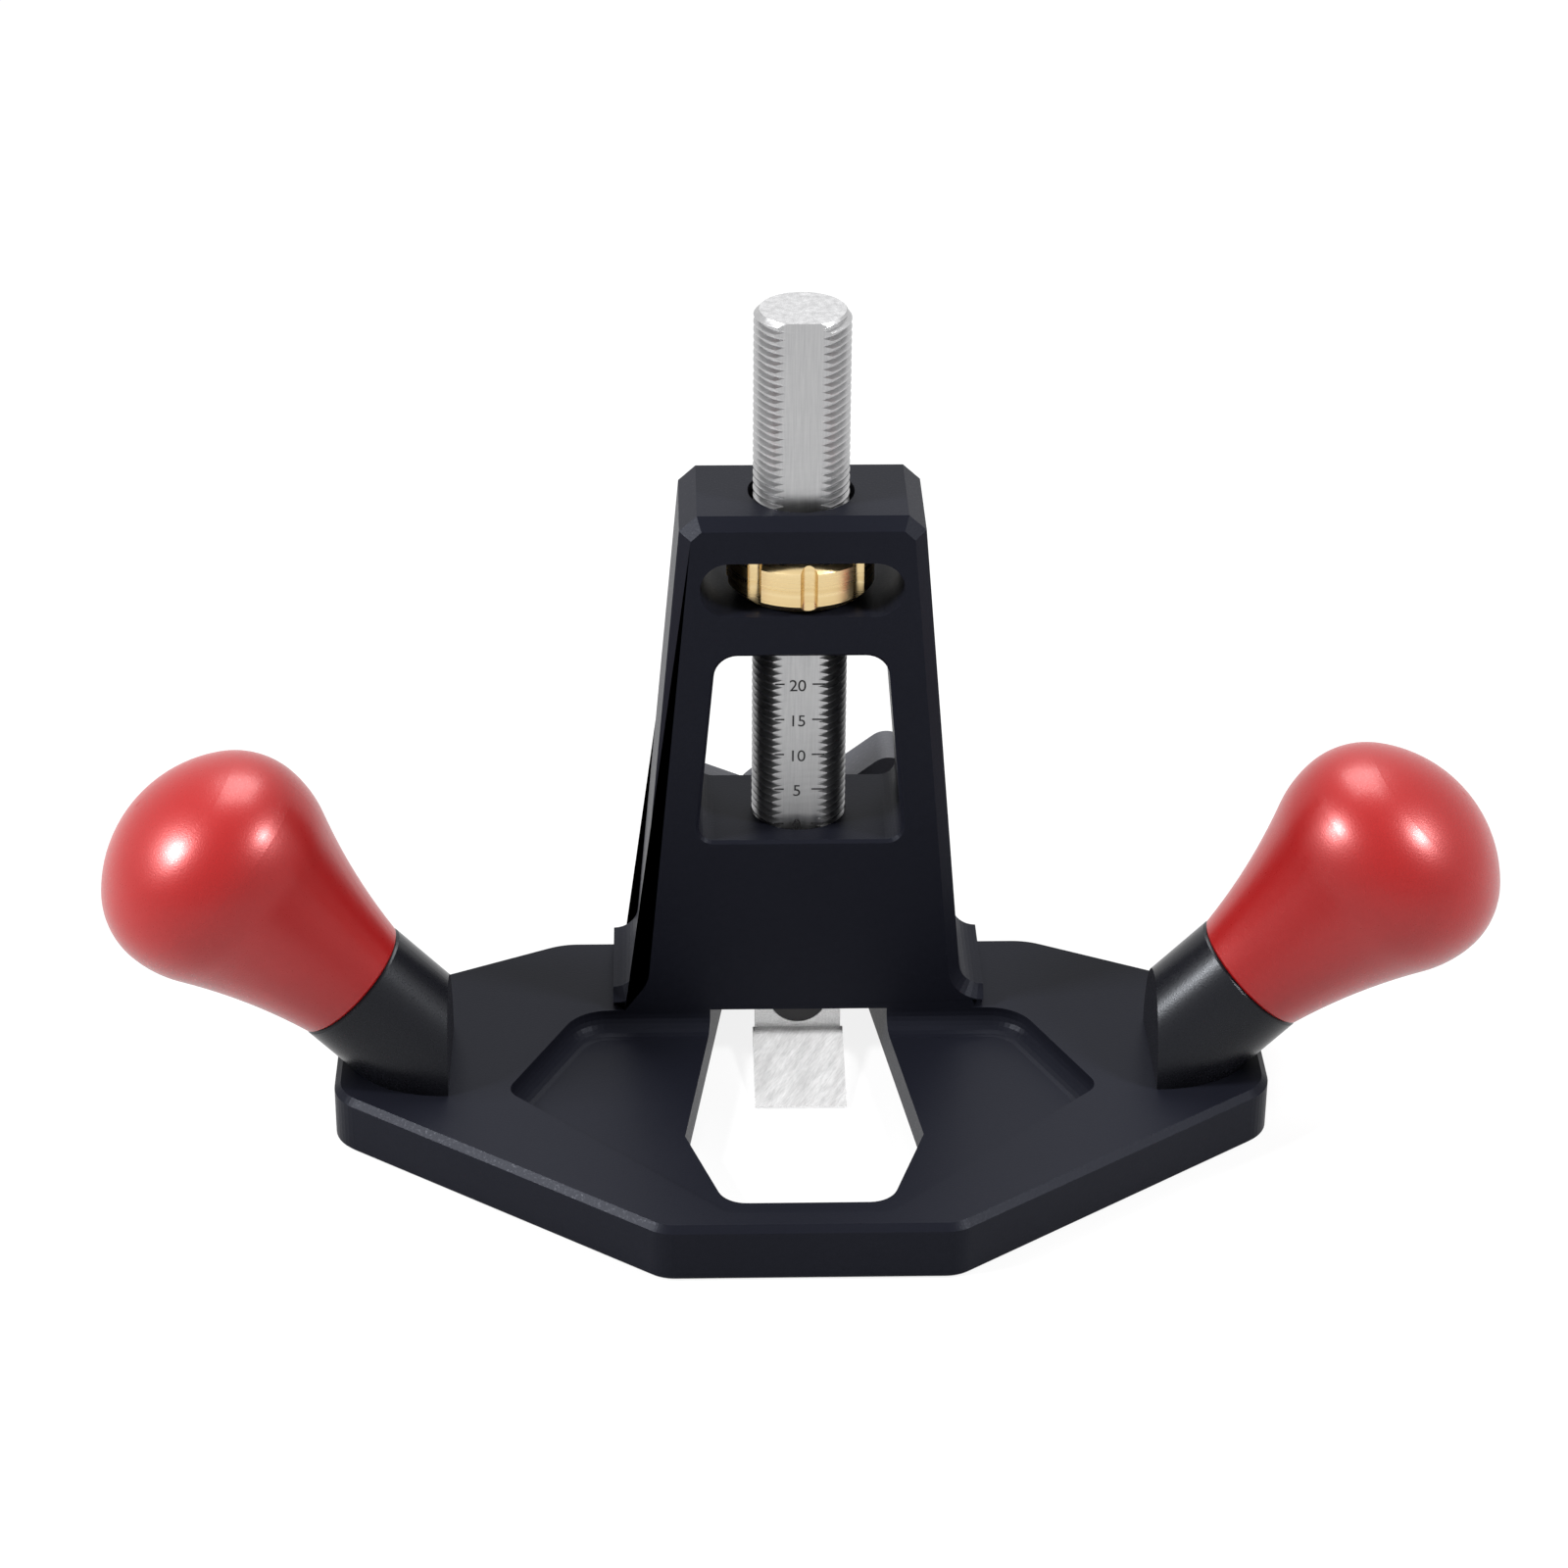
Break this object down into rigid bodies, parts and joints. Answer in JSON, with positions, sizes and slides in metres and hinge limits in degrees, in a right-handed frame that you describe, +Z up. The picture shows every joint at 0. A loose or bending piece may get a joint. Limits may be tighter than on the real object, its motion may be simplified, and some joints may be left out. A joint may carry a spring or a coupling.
{
  "type": "hand router plane",
  "caption": "Small two-handled hand router plane with a flat sole, a tower that carries a threaded depth post with an L-shaped blade, a brass depth nut and a rear lock knob.",
  "frame": {"origin": "under the middle of the outer box, on the plane of the sole", "axes": "+X to the right hand's knob, +Y to the rear where the lock knob is, away from the cutting edge, +Z up along the depth post"},
  "size_m": [0.1736, 0.0816, 0.1014],
  "materials": {
    "black_aluminium": "black anodised, fine satin",
    "red_aluminium": "red anodised over a fine bead blast, satin",
    "brass": "turned, semi bright",
    "post_steel": "turned thread with a ground flat",
    "blade_steel": "ground, with diagonal grinding marks",
    "black_screws": "black oxide",
    "plain_steel": "plain turned",
    "black_plastic": "moulded, fine texture"
  },
  "bodies": {
    "frame": {"base_plate": "black_aluminium", "tower": "black_aluminium", "tower_screws": "black_screws", "tower_dowels": "plain_steel", "lug_left": "black_aluminium", "lug_right": "black_aluminium", "lug_screws_left": "black_screws", "lug_screws_right": "black_screws", "knob_stud_left": "plain_steel", "knob_stud_right": "plain_steel", "knob_left": "red_aluminium", "knob_right": "red_aluminium", "lock_bush": "plain_steel"},
    "nut": {"adjuster_nut": "brass"},
    "post": {"depth_post": "post_steel", "blade": "blade_steel", "blade_screw": "black_screws"},
    "pad": {"lock_pad": "brass"},
    "lock": {"lock_screw": "plain_steel", "lock_knob": "black_plastic"}
  },
  "joints": [
    {"name": "nut_turn", "type": "hinge", "parent": "frame", "child": "nut", "pos_m": [0, 0.01775, 0.06785], "axis": [0, 0, 1], "range_deg": [-721, 9001]},
    {"name": "post_slide", "type": "slide", "parent": "frame", "child": "post", "axis": [0, 0, -1], "range_m": [-0.002, 0.025]},
    {"name": "pad_slide", "type": "slide", "parent": "frame", "child": "pad", "axis": [0, 1, 0], "range_m": [0, 0.0015]},
    {"name": "lock_turn", "type": "hinge", "parent": "pad", "child": "lock", "pos_m": [0, 0.01775, 0.02], "axis": [0, 1, 0], "range_deg": [0, 541]}
  ],
  "couplings": [
    {"joint": "nut_turn", "follows": "post_slide", "rad_per_m": 6283.2},
    {"joint": "lock_turn", "follows": "pad_slide", "rad_per_m": 6283.2}
  ]
}
